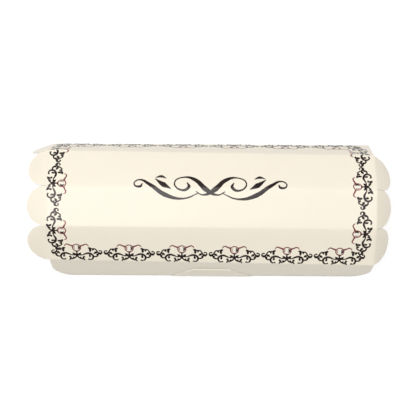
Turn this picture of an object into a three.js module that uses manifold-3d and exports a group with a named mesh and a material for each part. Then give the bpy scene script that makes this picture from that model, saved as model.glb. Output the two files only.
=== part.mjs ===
// A hexagonal sweets box folded from one sheet of board. It is an empty six-sided sleeve that lies
// on its wide base. Five equal panels arch over the base: back, back slope, top, front slope and
// front flap. The first four carry a rounded petal at each open end, and a tab that comes up from
// the base locks the front flap.
// Millimetres, +Z up, +X along the sleeve, the front flap towards -Y.
import * as THREE from "three";
import { mergeVertices } from "three/addons/utils/BufferGeometryUtils.js";
import Module from "manifold-3d";

// Driving dimensions
const LENGTH = 201.4; // of the sleeve, between the creases of its end petals
const PANEL_WIDTH = 24.8; // of each arched panel, crease to crease
const BOARD = 0.5; // thickness of the board
const LEFT_TILTS = [76.1, 25.5, 1.2, -31.6]; // degrees, from the back panel's to the front slope's
const RIGHT_TILTS = [70.5, 30.5, -4.7, -25.2];
const CORNER_LENGTH = 12.8; // of the flap's rounded corners, along the sleeve
const CORNER_RISE = 13.6; // and up the flap
const PETAL_LENGTH = 13.2;
const PETAL_SIDE = 1; // straight part of a petal's side, from its crease
const PETAL_GAP = 0.3; // between a petal and the crease beside it
const LEFT_BENDS = [16, 14, 14, 8]; // degrees that the petals lean in, from the back panel's on
const RIGHT_BENDS = [75, 40, 41, 44];
const TAB_HEIGHT = 13.9; // up the flap, to the slit
const TAB_FOOT = 52;
const TAB_TOP = 28;
const JOIN = 0.2; // how far the tab sinks into the flap, so that they are one solid

const SLEEVE_STEPS = 16; // along the sleeve, which is slightly twisted
const PETAL_STEPS = 24; // round a petal's edge
const CORNER_STEPS = 12; // round a rounded corner

const radians = THREE.MathUtils.degToRad;
const wasm = await Module();
wasm.setup();

// The sleeve's section

// Six corners in the (y, z) plane, anticlockwise: from the foot of the back, over the top, to the
// foot of the flap. The flap's tilt follows, because it brings the section back to the table.
function sectionFrom(panelTilts) {
  const rise = panelTilts.reduce((sum, tilt) => sum + Math.sin(radians(tilt)), 0);
  const tilts = [...panelTilts.map(radians), -Math.asin(rise)];
  const corner = new THREE.Vector2(0, 0);
  const corners = [corner.clone()];
  for (const tilt of tilts) {
    corner.x -= PANEL_WIDTH * Math.cos(tilt);
    corner.y += PANEL_WIDTH * Math.sin(tilt);
    corners.push(corner.clone());
  }
  const middle = corner.x / 2;
  return corners.map(({ x, y }) => new THREE.Vector2(x - middle, y));
}

const LEFT = sectionFrom(LEFT_TILTS);
const RIGHT = sectionFrom(RIGHT_TILTS);
const SHOULDER = 4; // the corner between the front slope and the flap
const FOOT = 5;

// The section's corners at x, where the sleeve has turned from one end's section to the other's.
function sectionAt(x) {
  return LEFT.map((left, i) => left.clone().lerp(RIGHT[i], x / LENGTH + 0.5));
}

// A section moved in by the board's thickness.
function inside(corners) {
  const count = corners.length;
  return corners.map((corner, i) => {
    const before = corner.clone().sub(corners[(i + count - 1) % count]).normalize();
    const after = corners[(i + 1) % count].clone().sub(corner).normalize();
    const inward = new THREE.Vector2(-before.y - after.y, before.x + after.x);
    return corner.clone().addScaledVector(inward, BOARD / (1 + before.dot(after)));
  });
}

// Solids and geometry

function solid(geometry) {
  const bare = geometry.clone();
  bare.deleteAttribute("normal");
  bare.deleteAttribute("uv");
  const merged = mergeVertices(bare);
  return new wasm.Manifold(
    new wasm.Mesh({
      numProp: 3,
      vertProperties: new Float32Array(merged.getAttribute("position").array),
      triVerts: new Uint32Array(merged.index.array),
    }),
  );
}

function geometryOf(manifold) {
  const { vertProperties, triVerts } = manifold.getMesh();
  const indexed = new THREE.BufferGeometry();
  indexed.setAttribute("position", new THREE.BufferAttribute(vertProperties, 3));
  indexed.setIndex(new THREE.BufferAttribute(triVerts, 1));
  const geometry = indexed.toNonIndexed();
  geometry.computeVertexNormals();
  return geometry;
}

function plate(outline, thickness) {
  return new THREE.ExtrudeGeometry(new THREE.Shape(outline), {
    depth: thickness,
    bevelEnabled: false,
  });
}

// A closed solid through convex sections, given as a function of x.
function loft(sectionOf, start, end) {
  const rings = [];
  for (let step = 0; step <= SLEEVE_STEPS; step++) {
    const x = THREE.MathUtils.lerp(start, end, step / SLEEVE_STEPS);
    rings.push(sectionOf(x).map((corner) => new THREE.Vector3(x, corner.x, corner.y)));
  }
  const count = rings[0].length;
  const at = (ring, corner) => ring * count + (corner % count);
  const index = [];
  for (let r = 0; r < SLEEVE_STEPS; r++) {
    for (let c = 0; c < count; c++) {
      index.push(at(r, c), at(r, c + 1), at(r + 1, c + 1));
      index.push(at(r, c), at(r + 1, c + 1), at(r + 1, c));
    }
  }
  for (let c = 1; c + 1 < count; c++) {
    index.push(at(0, 0), at(0, c + 1), at(0, c));
    index.push(at(SLEEVE_STEPS, 0), at(SLEEVE_STEPS, c), at(SLEEVE_STEPS, c + 1));
  }
  const geometry = new THREE.BufferGeometry().setFromPoints(rings.flat());
  geometry.setIndex(index);
  return geometry;
}

// Parts of the sheet

// The waste outside the rounded front corner at one end, a quarter ellipse seen from above. It
// takes the corner off the flap and the base alike.
function cornerWaste(end) {
  const corners = end < 0 ? LEFT : RIGHT;
  const shoulder = corners[SHOULDER];
  const foot = corners[FOOT];
  const start = foot.clone().lerp(shoulder, CORNER_RISE / PANEL_WIDTH);
  const x = (along) => end * (LENGTH / 2 - CORNER_LENGTH + along);
  const outline = [];
  for (let step = 0; step <= CORNER_STEPS; step++) {
    const angle = (Math.PI / 2) * (step / CORNER_STEPS);
    outline.push(
      new THREE.Vector2(
        x(CORNER_LENGTH * Math.sin(angle)),
        THREE.MathUtils.lerp(start.x, foot.x, Math.cos(angle)),
      ),
    );
  }
  const beyond = 2 * CORNER_LENGTH;
  outline.push(new THREE.Vector2(x(beyond), start.x));
  outline.push(new THREE.Vector2(x(beyond), foot.x - BOARD));
  outline.push(new THREE.Vector2(x(0), foot.x - BOARD));
  return plate(outline, shoulder.y + BOARD).translate(0, 0, -BOARD / 2);
}

// A petal's outline, with its crease on the u axis and its tip at +v. Each side gives way by the
// stated share of v, so that petals that lean in meet edge to edge and stay above the table.
function petalOutline(giveBefore, giveAfter) {
  const half = PANEL_WIDTH / 2 - PETAL_GAP;
  const outline = [new THREE.Vector2(half, 0)];
  for (let step = 0; step <= PETAL_STEPS; step++) {
    const angle = (Math.PI * step) / PETAL_STEPS;
    const v = PETAL_SIDE + (PETAL_LENGTH - PETAL_SIDE) * Math.sin(angle);
    const u = half * Math.cos(angle);
    outline.push(
      new THREE.Vector2(THREE.MathUtils.clamp(u, giveBefore * v - half, half - giveAfter * v), v),
    );
  }
  outline.push(new THREE.Vector2(-half, 0));
  return outline;
}

// The angle by which the sheet turns at the crease between two panels of a section.
function foldBetween(corners, panel) {
  const before = corners[panel].clone().sub(corners[panel - 1]);
  const after = corners[panel + 1].clone().sub(corners[panel]);
  return after.angle() - before.angle();
}

// The petal of one panel at one end, leaning in from its crease.
function petal(end, panel, bend) {
  const corners = end < 0 ? LEFT : RIGHT;
  const from = corners[panel];
  const to = corners[panel + 1];
  const along = new THREE.Vector3(0, to.x - from.x, to.y - from.y).normalize();
  const outward = new THREE.Vector3(0, along.z, -along.y);
  const lean = radians(bend);
  const toPetal = (crease) => Math.sin(lean) * Math.tan(foldBetween(corners, crease) / 2);
  const toTable = Math.sin(lean) * Math.abs(along.y / along.z);
  const gives = [panel > 0 ? toPetal(panel) : toTable, panel < 3 ? toPetal(panel + 1) : 0];
  if (end < 0) gives.reverse();

  const u = along.clone().multiplyScalar(end);
  const v = new THREE.Vector3(end * Math.cos(lean), 0, 0).addScaledVector(outward, -Math.sin(lean));
  const w = new THREE.Vector3().crossVectors(u, v);
  const middle = from.clone().add(to).multiplyScalar(0.5);
  const place = new THREE.Matrix4().makeBasis(u, v, w);
  place.setPosition(end * (LENGTH / 2), middle.x, middle.y);
  return plate(petalOutline(...gives), BOARD).translate(0, 0, -BOARD).applyMatrix4(place);
}

// The tab lies on the outside of the flap and narrows from the base to the slit that it goes into.
function lockTab() {
  const corners = sectionAt(0);
  const shoulder = corners[SHOULDER];
  const foot = corners[FOOT];
  const outline = [
    new THREE.Vector2(-TAB_FOOT / 2, JOIN),
    new THREE.Vector2(TAB_FOOT / 2, JOIN),
    new THREE.Vector2(TAB_TOP / 2, TAB_HEIGHT),
    new THREE.Vector2(-TAB_TOP / 2, TAB_HEIGHT),
  ];
  const u = new THREE.Vector3(1, 0, 0);
  const v = new THREE.Vector3(0, shoulder.x - foot.x, shoulder.y - foot.y).normalize();
  const w = new THREE.Vector3().crossVectors(u, v);
  const place = new THREE.Matrix4().makeBasis(u, v, w);
  place.setPosition(0, foot.x, foot.y);
  return plate(outline, JOIN + BOARD).translate(0, 0, -JOIN).applyMatrix4(place);
}

// The whole box

function cartonGeometry() {
  const half = LENGTH / 2;
  const bore = loft((x) => inside(sectionAt(x)), -half - BOARD, half + BOARD);
  let carton = solid(loft(sectionAt, -half, half)).subtract(solid(bore));
  for (const end of [-1, 1]) carton = carton.subtract(solid(cornerWaste(end)));
  LEFT_BENDS.forEach((bend, panel) => {
    carton = carton.add(solid(petal(-1, panel, bend)));
  });
  RIGHT_BENDS.forEach((bend, panel) => {
    carton = carton.add(solid(petal(1, panel, bend)));
  });
  return geometryOf(carton.add(solid(lockTab())));
}

const board = new THREE.MeshStandardMaterial({ color: 0xfdf4e6, roughness: 0.45, metalness: 0 });
const carton = new THREE.Mesh(cartonGeometry(), board);
carton.name = "carton";

// The origin is at the middle of the box's foot.
carton.geometry.computeBoundingBox();
const { min, max } = carton.geometry.boundingBox;
carton.position.set(-(min.x + max.x) / 2, -(min.y + max.y) / 2, -min.z);

const sweetsBox = new THREE.Group();
sweetsBox.add(carton);
export default sweetsBox;
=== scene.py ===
import math
from bisect import bisect_right

import bpy
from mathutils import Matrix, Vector


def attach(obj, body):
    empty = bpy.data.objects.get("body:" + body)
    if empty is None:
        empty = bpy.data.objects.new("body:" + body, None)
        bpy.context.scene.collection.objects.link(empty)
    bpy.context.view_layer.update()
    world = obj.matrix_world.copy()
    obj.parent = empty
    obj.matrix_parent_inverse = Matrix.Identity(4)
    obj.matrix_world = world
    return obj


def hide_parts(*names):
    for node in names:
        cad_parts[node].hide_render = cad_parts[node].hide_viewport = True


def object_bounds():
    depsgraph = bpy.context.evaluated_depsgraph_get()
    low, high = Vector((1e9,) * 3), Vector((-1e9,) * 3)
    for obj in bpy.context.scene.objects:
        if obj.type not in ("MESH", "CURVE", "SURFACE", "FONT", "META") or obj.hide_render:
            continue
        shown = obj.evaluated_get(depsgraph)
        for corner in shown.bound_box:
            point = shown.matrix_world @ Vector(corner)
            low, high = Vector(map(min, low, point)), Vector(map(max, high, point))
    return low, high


# An empty sweets box folded from one sheet of cream board. The sheet and its print are both
# made flat, as they leave the press, and then folded by the same function.
#
# On the flat sheet x runs along the sleeve from its middle and v across the panels: from the
# free edge of the front flap over the top, down the back, under the base and up the lock tab.
# Flat sizes are in millimetres. The folded pieces are in metres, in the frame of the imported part.

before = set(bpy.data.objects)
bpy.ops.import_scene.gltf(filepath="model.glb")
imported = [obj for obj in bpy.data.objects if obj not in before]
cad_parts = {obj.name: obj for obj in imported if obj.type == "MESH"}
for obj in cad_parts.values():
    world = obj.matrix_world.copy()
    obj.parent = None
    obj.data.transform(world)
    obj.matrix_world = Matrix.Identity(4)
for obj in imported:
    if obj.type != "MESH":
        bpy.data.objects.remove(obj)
cad_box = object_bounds()

MM = 0.001

# Sizes of the sheet. The left end is -1 and the right end 1.
LENGTH = 201.4  # between the creases of the petals at the two ends
PANEL = 24.8
BOARD = 0.5  # thickness
TILTS = {-1: (76.1, 25.5, 1.2, -31.6), 1: (70.5, 30.5, -4.7, -25.2)}  # panels, from the back on
BENDS = {-1: (8, 14, 14, 16), 1: (44, 41, 40, 75)}  # petals, from the front slope's on
PETAL_LENGTH = 13.2
PETAL_SIDE = 1  # straight part of a petal's side
PETAL_GAP = 0.15  # between a petal and the crease beside it
CORNER_LENGTH = 12.8  # of the flap's rounded corners, along the sleeve
CORNER_RISE = 13.6  # and up the flap
FLAP_EDGE = 0.75  # the flap stands on the base, so it ends this far short of the foot
EDGE_ROUNDING = 0.06
FOLD_RADIUS = 1.4
END_FOLD_RADIUS = 0.6
TAB_FOLD_RADIUS = 0.5

# The lock: a tab from the base goes up outside the flap and in through a slit
TAB_FOOT = 52
TAB_TOP = 25
TAB_RISE = 12.2
TAB_DIVE = 1.55  # slanting through the slit
TAB_TONGUE = 5  # behind the flap
TAB_PLAY = 0.03  # between the tab and the flap
TONGUE_CORNER = 2
SLIT = (11.8, 13.5)  # its two edges, up the flap
SLIT_PLAY = 0.3  # at each end

# The printed border
ROW_PITCH = 32.5
ROW_COUNT = 6
ROW_MIDDLE = -2.25
FRONT_ROW = 28.7
BACK_ROW = 119.3
COLUMN_KNOTS = ((46.4, 0.9), (75.9, 0.9), (103.8, 0.84))  # places along v, and their squeeze
LEFT_COLUMN = -97.2
RIGHT_COLUMN = 94.1
FLOURISH_AT = (-1.0, 74.2)
INK_SPREAD = 1.35  # how much wider a stroke prints than it is drawn
INK_SHOULDER = 0.4  # height of a stroke's sides, as a share of its relief
DARK_RELIEF = 0.03
ROSY_RELIEF = 0.028
PEARL_RELIEF = 0.026

# The scores that the folds follow
SCORE_WIDTH = 0.55
SCORE_DEPTH = 0.07

# How finely things are cut
PETAL_STEPS = 28
CORNER_STEPS = 16
PANEL_STRIPS = 4
LENGTH_STRIPS = 40
STROKE_STEPS = 4
RING_STEPS = 12


# Folding

def corners_of_end(end):
    """Corners of the sleeve at one end as (y, z), from the flap's foot over to the back's foot."""
    tilts = [math.radians(tilt) for tilt in TILTS[end]]
    tilts.append(-math.asin(sum(math.sin(tilt) for tilt in tilts)))
    corner = Vector((0.0, 0.0))
    corners = [corner.copy()]
    for tilt in tilts:
        corner += PANEL * Vector((-math.cos(tilt), math.sin(tilt)))
        corners.append(corner.copy())
    middle = Vector((corner.x / 2, 0.0))
    return [corner - middle for corner in reversed(corners)]


ENDS = {end: corners_of_end(end) for end in (-1, 1)}
BASE = ENDS[-1][5].x - ENDS[-1][0].x
SLEEVE_X = cad_box[1][0] / MM - PETAL_LENGTH * math.cos(math.radians(min(BENDS[1]))) - LENGTH / 2
SLEEVE_Y = cad_box[1][1] / MM - BASE / 2


def corners_at(x):
    """The section's corners at x, where the sheet folds, with those of the lock tab last."""
    share = min(max(x / LENGTH + 0.5, 0.0), 1.0)
    corners = [left.lerp(right, share) for left, right in zip(ENDS[-1], ENDS[1])]
    foot = corners[0]
    up = (corners[1] - foot).normalized()
    out = Vector((-up.y, up.x))
    front = foot - Vector(((BOARD + TAB_PLAY) / up.y, 0.0))
    rise = front + TAB_RISE * up
    dive = rise + TAB_DIVE * (up - out).normalized()
    return corners + [front, rise, dive, dive + TAB_TONGUE * up]


def places_of_corners():
    """How far along v each corner of the section lies."""
    corners = corners_at(0)
    places = [PANEL * panel for panel in range(6)]
    for before, after in zip(corners[5:], corners[6:]):
        places.append(places[-1] + (after - before).length)
    return places


def softness_of_folds():
    """Half the width of the rounding at each fold."""
    corners = corners_at(0)
    soft = [0.0] * len(corners)
    for i in range(1, len(corners) - 1):
        turn = (corners[i] - corners[i - 1]).angle(corners[i + 1] - corners[i])
        soft[i] = (FOLD_RADIUS if i < 6 else TAB_FOLD_RADIUS) * math.tan(turn / 2)
    return soft


FOLDS = places_of_corners()
SOFT = softness_of_folds()
BASE_EDGE = FOLDS[5] + BASE


def rounded(before, corner, after, soft, along):
    """A point and direction on a rounded corner, along millimetres past its sharp point."""
    start = corner + soft * (before - corner).normalized()
    end = corner + soft * (after - corner).normalized()
    share = (along / soft + 1) / 2
    first = start.lerp(corner, share)
    second = corner.lerp(end, share)
    return first.lerp(second, share), (second - first).normalized()


def across(x, v):
    """Where the folded sheet's outer face lies in the section at x, and which way v runs."""
    corners = corners_at(x)
    panel = min(max(bisect_right(FOLDS, v) - 1, 0), len(FOLDS) - 2)
    for fold_at in (panel, panel + 1):
        if abs(v - FOLDS[fold_at]) < SOFT[fold_at]:
            near = corners[fold_at - 1:fold_at + 2]
            return rounded(*near, SOFT[fold_at], v - FOLDS[fold_at])
    run = (corners[panel + 1] - corners[panel]).normalized()
    return corners[panel] + (v - FOLDS[panel]) * run, run


def bend_of(end, v):
    """How far a petal at this end leans in, or nothing where the panel has no petal."""
    panel = int(v // PANEL)
    return math.radians(BENDS[end][panel - 1]) if 1 <= panel <= 4 else 0.0


def score(off):
    """How deep the sheet is pressed in, off millimetres from the middle of a score."""
    share = min(abs(off) / SCORE_WIDTH, 1.0)
    return SCORE_DEPTH * (1 - share * share) ** 2


def fold(x, v, height):
    """The place in the frame of a point of the flat sheet, height millimetres off its face."""
    end = -1 if x < 0 else 1
    past = abs(x) - LENGTH / 2
    bend = bend_of(end, v)
    nearest = min(abs(v - place) for place in FOLDS[1:5])
    if past < 0 or not bend:
        height -= score(nearest)
    if bend:
        height -= score(past)
    soft = END_FOLD_RADIUS * math.tan(bend / 2)
    if not bend or past < -soft:
        point, run = across(x, v)
        y, z = point + height * Vector((-run.y, run.x))
        return MM * Vector((x + SLEEVE_X, y + SLEEVE_Y, z))

    point, run = across(end * LENGTH / 2, v)
    out = Vector((-run.y, run.x))
    lean = Vector((math.cos(bend), -math.sin(bend)))
    if past < soft:
        (reach, drop), way = rounded(Vector((-1, 0)), Vector((0, 0)), lean, soft, past)
    else:
        reach, drop = past * lean
        way = lean
    reach -= height * way.y
    y, z = point + (drop + height * way.x) * out
    return MM * Vector((end * (LENGTH / 2 + reach) + SLEEVE_X, y + SLEEVE_Y, z))


def fold_piece(piece):
    for vertex in piece.data.vertices:
        vertex.co = fold(*vertex.co)


# Modelling

def only(piece):
    """Makes a piece the one that the next operator acts on."""
    bpy.ops.object.select_all(action="DESELECT")
    piece.select_set(True)
    bpy.context.view_layer.objects.active = piece


def cut_across(piece, axis, places):
    """Cuts a flat piece along lines square to an axis, so that it can bend there."""
    only(piece)
    bpy.ops.object.mode_set(mode="EDIT")
    normal = [0.0, 0.0, 0.0]
    normal[axis] = 1.0
    for place in places:
        bpy.ops.mesh.select_all(action="SELECT")
        bpy.ops.mesh.bisect(plane_co=[place * part for part in normal], plane_no=normal)
    bpy.ops.object.mode_set(mode="OBJECT")


def lines_at_fold(place, soft):
    """Where the sheet is cut so that a fold comes out round and its score shows."""
    lines = {share * half for share in (-1, -0.5, 0, 0.5, 1) for half in (soft, SCORE_WIDTH)}
    return [place + line for line in sorted(lines)]


def end_lines():
    widest = END_FOLD_RADIUS * math.tan(math.radians(max(BENDS[1])) / 2)
    lines = lines_at_fold(LENGTH / 2, widest)
    return [-line for line in lines] + lines


def apply_modifiers(piece):
    only(piece)
    for modifier in list(piece.modifiers):
        bpy.ops.object.modifier_apply(modifier=modifier.name)


def petal_gives(end, panel):
    """How much the two sides of a leaning petal give way to its neighbours, and to the table."""
    corners = ENDS[end]
    lean = math.sin(math.radians(BENDS[end][panel - 1]))
    run = corners[panel + 1] - corners[panel]
    to_flap_side = lean * math.tan(run.angle(corners[panel] - corners[panel - 1]) / 2)
    if panel < 4:
        to_back_side = lean * math.tan(run.angle(corners[panel + 2] - corners[panel + 1]) / 2)
    else:
        to_back_side = lean * abs(run.x / run.y)
    return (0.0 if panel == 1 else to_flap_side), to_back_side


def petal_outline(end, panel):
    """Points round a petal, from its flap side to its back side."""
    half = PANEL / 2 - PETAL_GAP
    middle = PANEL * (panel + 0.5)
    flap_give, back_give = petal_gives(end, panel)
    points = [(LENGTH / 2, middle - half)]
    for step in range(PETAL_STEPS + 1):
        angle = math.pi * step / PETAL_STEPS
        reach = PETAL_SIDE + (PETAL_LENGTH - PETAL_SIDE) * math.sin(angle)
        side = -half * math.cos(angle)
        side = min(max(side, flap_give * reach - half), half - back_give * reach)
        points.append((LENGTH / 2 + reach, middle + side))
    points.append((LENGTH / 2, middle + half))
    return points


def corner_outline(start, stop):
    """A quarter ellipse from the edge at start to the end of the sleeve at stop."""
    points = []
    for step in range(CORNER_STEPS + 1):
        angle = math.pi / 2 * step / CORNER_STEPS
        x = LENGTH / 2 - CORNER_LENGTH * (1 - math.sin(angle))
        points.append((x, start + (stop - start) * (1 - math.cos(angle))))
    return points


def end_outline(end):
    """The sheet's outline at one end, from the flap's edge to the base's front edge."""
    points = corner_outline(FLAP_EDGE, CORNER_RISE)
    points.append((LENGTH / 2, PANEL))
    for panel in (1, 2, 3, 4):
        points += petal_outline(end, panel)
    foot, shoulder = ENDS[end][:2]
    corner = (shoulder.x - foot.x) * CORNER_RISE / PANEL
    points += reversed(corner_outline(BASE_EDGE, BASE_EDGE - corner))
    return [(end * x, v) for x, v in points]


def sheet_outline():
    """The whole sheet as it is cut, with the lock tab between the base's corners."""
    tab = [
        (TAB_FOOT / 2, BASE_EDGE),
        (TAB_TOP / 2, FOLDS[7]),
        (TAB_TOP / 2, FOLDS[9] - TONGUE_CORNER),
        (TAB_TOP / 2 - TONGUE_CORNER, FOLDS[9]),
    ]
    back = [(-x, v) for x, v in reversed(tab)]
    return end_outline(1) + tab + back + end_outline(-1)[::-1]


def open_slit(piece):
    """Cuts the slit for the tab out of the front flap."""
    half = TAB_TOP / 2 + SLIT_PLAY
    cut_across(piece, 0, (-half, half))
    cut_across(piece, 1, SLIT)
    for face in piece.data.polygons:
        face.select = abs(face.center.x) < half and SLIT[0] < face.center.y < SLIT[1]
    only(piece)
    bpy.ops.object.mode_set(mode="EDIT")
    bpy.ops.mesh.select_mode(type="FACE")
    bpy.ops.mesh.delete(type="FACE")
    bpy.ops.object.mode_set(mode="OBJECT")


def make_carton(faces):
    """The folded board: coated outside, plain inside, with its core showing at the cut edges."""
    outline = sheet_outline()
    bpy.ops.object.select_all(action="DESELECT")
    bpy.ops.mesh.primitive_circle_add(vertices=len(outline), fill_type="NGON")
    carton = bpy.context.object
    carton.name = "printed_carton"
    for vertex, (x, v) in zip(carton.data.vertices, outline):
        vertex.co = (x, v, 0.0)
    carton.data.update()
    if carton.data.polygons[0].normal.z < 0:
        carton.data.flip_normals()

    cut_across(carton, 0, end_lines())
    cut_across(carton, 0, [LENGTH * (i / LENGTH_STRIPS - 0.5) for i in range(1, LENGTH_STRIPS)])
    for place, soft in zip(FOLDS[1:-1], SOFT[1:-1]):
        cut_across(carton, 1, lines_at_fold(place, soft))
    strips = [PANEL * i / PANEL_STRIPS for i in range(1, 5 * PANEL_STRIPS) if i % PANEL_STRIPS]
    cut_across(carton, 1, strips)
    open_slit(carton)
    fold_piece(carton)

    for material in faces:
        carton.data.materials.append(material)
    board = carton.modifiers.new("board", "SOLIDIFY")
    board.thickness = BOARD * MM
    board.offset = -1
    board.use_even_offset = True
    board.material_offset = 1
    board.material_offset_rim = 2
    edge = carton.modifiers.new("edge", "BEVEL")
    edge.width = EDGE_ROUNDING * MM
    edge.segments = 2
    edge.limit_method = "ANGLE"
    edge.angle_limit = math.radians(60)
    apply_modifiers(carton)
    bpy.ops.object.shade_smooth_by_angle(angle=math.radians(30))
    return carton


# The print. A stroke is a list of (x, y, width) in millimetres that the pen passes through. One
# motif stands on its knot, and its ring points to the inside of the border.

SCROLLS = (
    [(1.0, -0.05, 0.4), (3.0, -0.05, 0.45), (4.8, 0.75, 0.8), (6.7, 1.4, 1.0), (8.4, 1.1, 1.0),
     (9.7, 0.1, 0.95), (10.0, -1.4, 0.9), (9.3, -2.8, 0.75), (8.1, -3.3, 0.65), (7.3, -2.9, 0.95),
     (7.15, -2.5, 0.3)],
    [(8.0, 1.0, 0.4), (7.9, 0.1, 0.8), (8.05, -0.8, 1.1), (8.2, -1.5, 0.3)],
    [(10.0, -0.8, 0.6), (11.5, -1.0, 0.75), (12.7, -0.2, 0.85), (12.7, 0.5, 1.35), (12.1, 0.9, 0.4)],
    [(10.1, 3.3, 0.3), (10.0, 3.9, 0.95), (10.9, 4.75, 0.65), (12.0, 3.9, 0.6), (12.8, 2.5, 0.65),
     (13.6, 1.5, 1.0), (14.5, 1.3, 1.3), (15.3, 1.8, 0.8), (15.4, 2.7, 0.55), (14.8, 3.4, 0.5),
     (14.15, 3.2, 0.9), (14.0, 2.8, 0.3)],
    [(10.8, 4.75, 0.4), (9.9, 4.9, 0.45), (9.2, 4.75, 0.6)],
    [(0.3, -0.6, 0.6), (0.9, -1.6, 0.7), (1.9, -2.4, 0.7), (3.1, -2.8, 0.65)],
    [(1.5, -2.2, 0.5), (2.2, -1.9, 1.0), (2.4, -1.2, 0.3)],
)
LEAVES = (
    [(9.4, 4.7, 0.4), (8.6, 4.75, 1.1), (7.8, 5.15, 1.2), (6.9, 5.4, 0.3)],
    [(8.5, 4.9, 0.5), (8.35, 3.9, 1.15), (8.3, 3.0, 1.0), (8.25, 2.3, 0.3)],
    [(12.6, 2.6, 0.4), (11.6, 1.9, 1.35), (10.4, 1.1, 0.4)],
    [(2.9, -2.75, 0.6), (3.9, -3.05, 1.4), (5.0, -4.0, 0.25)],
    [(3.2, -2.8, 0.5), (3.9, -1.9, 0.8), (4.35, -1.2, 1.1), (4.6, -0.6, 0.3)],
    [(0.2, 0.0, 0.8), (1.1, 0.65, 0.8), (1.9, 1.05, 1.1), (2.7, 1.75, 0.2)],
    [(1.0, 0.2, 0.5), (2.2, 0.3, 0.6), (3.1, 0.0, 0.3)],
)
KNOT = [(0.0, 2.4, 0.35), (0.0, 1.2, 0.8), (0.0, 0.0, 2.0), (0.0, -1.1, 0.6), (0.0, -1.4, 0.2)]
RING_MIDDLE = (0.0, 5.4)
RING_RADIUS = 2.45
RING_WIDTH = 0.5
CRESCENT = [(0.75, 6.8, 0.2), (1.35, 6.1, 0.65), (1.55, 5.4, 0.9), (1.3, 4.7, 0.65),
            (0.75, 4.1, 0.2)]
RING_STEM = [(0.0, 1.9, 0.5), (0.0, 2.4, 0.8), (0.0, 2.75, 1.8), (0.0, 2.95, 1.2)]
WING = [(2.3, 6.5, 1.0), (3.3, 6.95, 0.75), (4.4, 7.35, 0.65), (5.5, 7.9, 0.6), (6.5, 7.75, 0.55),
        (7.2, 7.0, 0.4), (7.5, 6.3, 0.2)]
GLINT = [(-1.1, 6.5, 0.2), (-1.6, 5.4, 0.4), (-1.1, 4.3, 0.2)]
PEARL = [(-0.6, 5.5, 0.6), (-0.3, 5.5, 1.2), (0.0, 5.5, 1.4), (0.3, 5.5, 1.2), (0.6, 5.5, 0.6)]

# Half of the flourish in the middle, where the box carried its lettering.
FLOURISH = (
    [(-9.0, -2.5, 0.4), (-4.5, -4.6, 0.7), (3.0, -1.0, 2.4), (9.0, 5.0, 1.9), (16.0, 7.0, 0.7),
     (22.0, 3.2, 0.6), (18.5, -1.6, 0.9), (13.2, 0.2, 1.5), (14.4, 3.4, 0.5)],
    [(7.0, -3.4, 0.4), (16.5, -7.0, 0.8), (28.0, -4.6, 2.1), (37.0, 1.6, 1.7), (44.0, 4.8, 0.7),
     (46.6, 1.6, 0.6), (42.8, 0.3, 1.3), (41.6, 2.4, 0.4)],
    [(24.0, -1.0, 0.3), (28.6, 1.6, 2.6), (34.0, 5.8, 0.3)],
    [(27.0, 6.0, 0.3), (30.0, 7.4, 1.4), (33.6, 6.4, 0.3)],
)


def mirrored(strokes):
    return [[(-x, y, width) for x, y, width in stroke] for stroke in strokes]


def ring():
    x, y = RING_MIDDLE
    points = []
    for step in range(RING_STEPS + 1):
        turn = math.radians(360 / RING_STEPS * step)
        points.append((x + RING_RADIUS * math.sin(turn), y - RING_RADIUS * math.cos(turn),
                       RING_WIDTH))
    return points


def dark_motif():
    half = SCROLLS + LEAVES
    return list(half) + mirrored(half) + [KNOT, CRESCENT, RING_STEM]


def ring_motif():
    return [ring(), GLINT, WING] + mirrored([WING])


def placed(strokes, x, v, quarter_turns=0, squeeze=1.0):
    """Strokes moved to their place on the sheet, turned by quarters anticlockwise."""
    turn = quarter_turns * math.pi / 2
    right = Vector((math.cos(turn), math.sin(turn))) * squeeze
    up = Vector((-math.sin(turn), math.cos(turn)))
    middle = Vector((x, v))
    return [[(*(middle + px * right + py * up), width) for px, py, width in stroke]
            for stroke in strokes]


def border(motif):
    """One motif repeated round the four panels that have petals."""
    strokes = []
    for i in range(ROW_COUNT):
        x = ROW_MIDDLE + ROW_PITCH * (i - (ROW_COUNT - 1) / 2)
        strokes += placed(motif, x, FRONT_ROW)
        strokes += placed(motif, x, BACK_ROW, 2)
    for v, squeeze in COLUMN_KNOTS:
        strokes += placed(motif, LEFT_COLUMN, v, 3, squeeze)
        strokes += placed(motif, RIGHT_COLUMN, v, 1, squeeze)
    return strokes


def make_print(name, strokes, material, relief):
    """Inks strokes on the sheet: each is a thin raised line that swells and tapers."""
    bpy.ops.object.select_all(action="DESELECT")
    bpy.ops.curve.primitive_bezier_curve_add(location=(0, 0, 0))
    piece = bpy.context.object
    curve = piece.data
    curve.splines.clear()
    curve.dimensions = "3D"
    curve.twist_mode = "Z_UP"
    curve.resolution_u = STROKE_STEPS
    curve.bevel_depth = 1.0
    curve.bevel_resolution = 0
    curve.use_fill_caps = True
    for stroke in strokes:
        spline = curve.splines.new("BEZIER")
        spline.bezier_points.add(len(stroke) - 1)
        for knot, (x, y, width) in zip(spline.bezier_points, stroke):
            knot.co = (x, y, 0.0)
            knot.radius = INK_SPREAD * width / 2
            knot.handle_left_type = "AUTO"
            knot.handle_right_type = "AUTO"
    only(piece)
    bpy.ops.object.convert(target="MESH")
    piece = bpy.context.object
    piece.name = name

    cut_across(piece, 0, end_lines())
    for place, soft in zip(FOLDS[2:5], SOFT[2:5]):
        cut_across(piece, 1, lines_at_fold(place, soft))
    for vertex in piece.data.vertices:
        side = (vertex.co.z > 1e-4) - (vertex.co.z < -1e-4)
        vertex.co.z = relief * (INK_SHOULDER + (1 - INK_SHOULDER) * side)
    fold_piece(piece)
    piece.data.materials.clear()
    piece.data.materials.append(material)
    only(piece)
    bpy.ops.object.shade_smooth_by_angle(angle=math.radians(30))
    return piece


# Finishes

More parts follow.
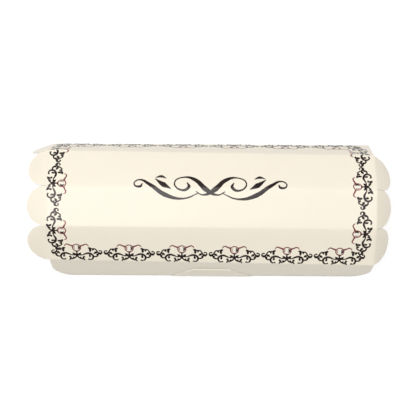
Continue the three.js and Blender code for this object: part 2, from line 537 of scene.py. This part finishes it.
class Value:
    """A node's output. Sums on it add Math nodes."""

    def __init__(self, finish, socket):
        self.finish = finish
        self.socket = socket

    def sum(self, operation, first, second):
        return self.finish.node("ShaderNodeMath", {"operation": operation}, {0: first, 1: second})

    def __add__(self, other):
        return self.sum("ADD", self, other)

    def __mul__(self, other):
        return self.sum("MULTIPLY", self, other)

    __radd__ = __add__
    __rmul__ = __mul__


class Finish:
    """A material, built node by node around its Principled shader."""

    def __init__(self, name):
        self.material = bpy.data.materials.new(name)
        self.material.use_nodes = True
        self.nodes = self.material.node_tree.nodes
        self.links = self.material.node_tree.links
        self.shader = self.nodes["Principled BSDF"]
        self.place = self.node("ShaderNodeTexCoord", output="Object")

    def put(self, socket, value):
        if isinstance(value, Value):
            self.links.new(value.socket, socket)
        else:
            socket.default_value = value

    def node(self, kind, settings=None, sockets=None, output=0):
        """Adds a node: its settings first, then the values or links of its sockets."""
        made = self.nodes.new(kind)
        for name, value in (settings or {}).items():
            setattr(made, name, value)
        for name, value in (sockets or {}).items():
            self.put(made.inputs[name], value)
        return Value(self, made.outputs[output])

    def noise(self, scale, detail=2.0, roughness=0.5):
        sockets = {"Vector": self.place, "Scale": scale, "Detail": detail, "Roughness": roughness}
        return self.node("ShaderNodeTexNoise", None, sockets, "Fac")

    def between(self, factor, first, second):
        """A colour between two others."""
        sockets = {"Factor": factor, 6: first, 7: second}
        return self.node("ShaderNodeMix", {"data_type": "RGBA"}, sockets, 2)

    def bump(self, height, strength, distance):
        sockets = {"Height": height, "Strength": strength, "Distance": distance}
        return self.node("ShaderNodeBump", None, sockets, "Normal")

    def set(self, **sockets):
        """Sets the shader's sockets, and gives the finished material."""
        for name, value in sockets.items():
            self.put(self.shader.inputs[name.replace("_", " ")], value)
        return self.material


def coated_face():
    finish = Finish("coated_board")
    mottle = finish.noise(38, 3)
    grain = finish.noise(2600, 2)
    tone = finish.between(mottle, (0.91, 0.835, 0.695, 1), (0.94, 0.868, 0.733, 1))
    return finish.set(
        Base_Color=tone,
        Roughness=0.36 + 0.1 * mottle,
        Specular_IOR_Level=0.3,
        Coat_Weight=0.05,
        Coat_Roughness=0.25,
        Normal=finish.bump(grain, 0.25, 0.00004),
    )


def plain_face():
    finish = Finish("uncoated_board")
    fibres = finish.noise(900, 5, 0.65)
    tone = finish.between(fibres, (0.82, 0.79, 0.71, 1), (0.9, 0.88, 0.82, 1))
    return finish.set(
        Base_Color=tone,
        Roughness=0.85,
        Specular_IOR_Level=0.25,
        Normal=finish.bump(fibres, 0.5, 0.0001),
    )


def cut_edge():
    finish = Finish("cut_edge")
    fibres = finish.noise(3200, 4, 0.7)
    tone = finish.between(fibres, (0.74, 0.7, 0.61, 1), (0.86, 0.83, 0.75, 1))
    return finish.set(
        Base_Color=tone,
        Roughness=0.9,
        Specular_IOR_Level=0.2,
        Normal=finish.bump(fibres, 0.6, 0.00008),
    )


def foil(name, low, high, metallic):
    """A glossy ink between two colours, mottled where it is thin."""
    finish = Finish(name)
    wear = finish.noise(420, 3)
    return finish.set(
        Base_Color=finish.between(wear, (*low, 1), (*high, 1)),
        Metallic=metallic,
        Roughness=0.3 + 0.12 * wear,
        Specular_IOR_Level=0.4,
        Coat_Weight=0.1,
        Coat_Roughness=0.15,
    )


# The box

carton = make_carton((coated_face(), plain_face(), cut_edge()))
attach(carton, "root")
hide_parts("carton")

dark = foil("dark_foil", (0.011, 0.004, 0.004), (0.021, 0.009, 0.009), 0.0)
rosy = foil("rosy_foil", (0.17, 0.033, 0.04), (0.25, 0.056, 0.064), 0.1)
pearl = foil("pearl_ink", (0.88, 0.84, 0.79), (0.93, 0.9, 0.86), 0.0)
flourish = placed(list(FLOURISH) + mirrored(FLOURISH), *FLOURISH_AT)
prints = (
    make_print("border_scrolls", border(dark_motif()), dark, DARK_RELIEF),
    make_print("border_rings", border(ring_motif()), rosy, ROSY_RELIEF),
    make_print("border_pearls", border([PEARL]), pearl, PEARL_RELIEF),
    make_print("middle_flourish", flourish, dark, DARK_RELIEF),
)
for piece in prints:
    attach(piece, "root")


# Floor, light and camera

FLOOR_DROP = 0.2  # just below the base, which would flicker through it otherwise


def floor_paint():
    """Pale enough to come out white, with a little shadow under the box."""
    return Finish("floor_paint").set(
        Base_Color=(0.22, 0.22, 0.22, 1),
        Roughness=0.9,
        Specular_IOR_Level=0.1,
        Emission_Color=(1, 1, 1, 1),
        Emission_Strength=0.84,
    )


def make_floor():
    bpy.ops.object.select_all(action="DESELECT")
    bpy.ops.mesh.primitive_plane_add(size=6, location=(0, 0, -FLOOR_DROP * MM))
    floor = bpy.context.object
    floor.name = "floor"
    floor.data.materials.append(floor_paint())


def add_light(name, place, size, power):
    """A soft square light that points at the box."""
    bpy.ops.object.light_add(type="AREA", location=place)
    light = bpy.context.object
    light.name = name
    light.rotation_euler = (-Vector(place)).to_track_quat("-Z", "Y").to_euler()
    light.data.size = size
    light.data.energy = power


def set_world(strength):
    world = bpy.data.worlds.new("studio")
    world.use_nodes = True
    background = world.node_tree.nodes["Background"]
    background.inputs["Color"].default_value = (1, 1, 1, 1)
    background.inputs["Strength"].default_value = strength
    bpy.context.scene.world = world


def add_camera(place, turn, lens):
    """The photograph's view, from above and a little in front, with the turn in degrees."""
    bpy.ops.object.camera_add(location=place, rotation=[math.radians(angle) for angle in turn])
    camera = bpy.context.object
    camera.data.lens = lens
    camera.data.sensor_width = 36
    bpy.context.scene.camera = camera


make_floor()
add_light("overhead", (-0.22, 0.1, 1.25), 0.6, 7.2)
add_light("right", (0.6, 0, 1.1), 0.6, 4.6)
add_light("back", (-0.35, 0.75, 1.1), 0.9, 3.6)
add_light("left", (-0.9, 0, 0.7), 0.9, 2.5)
set_world(0.14)
bpy.context.scene.view_settings.view_transform = "Standard"
add_camera((-0.0003, -0.0039, 0.64), (0.47, 0.06, 0.31), 85.9)
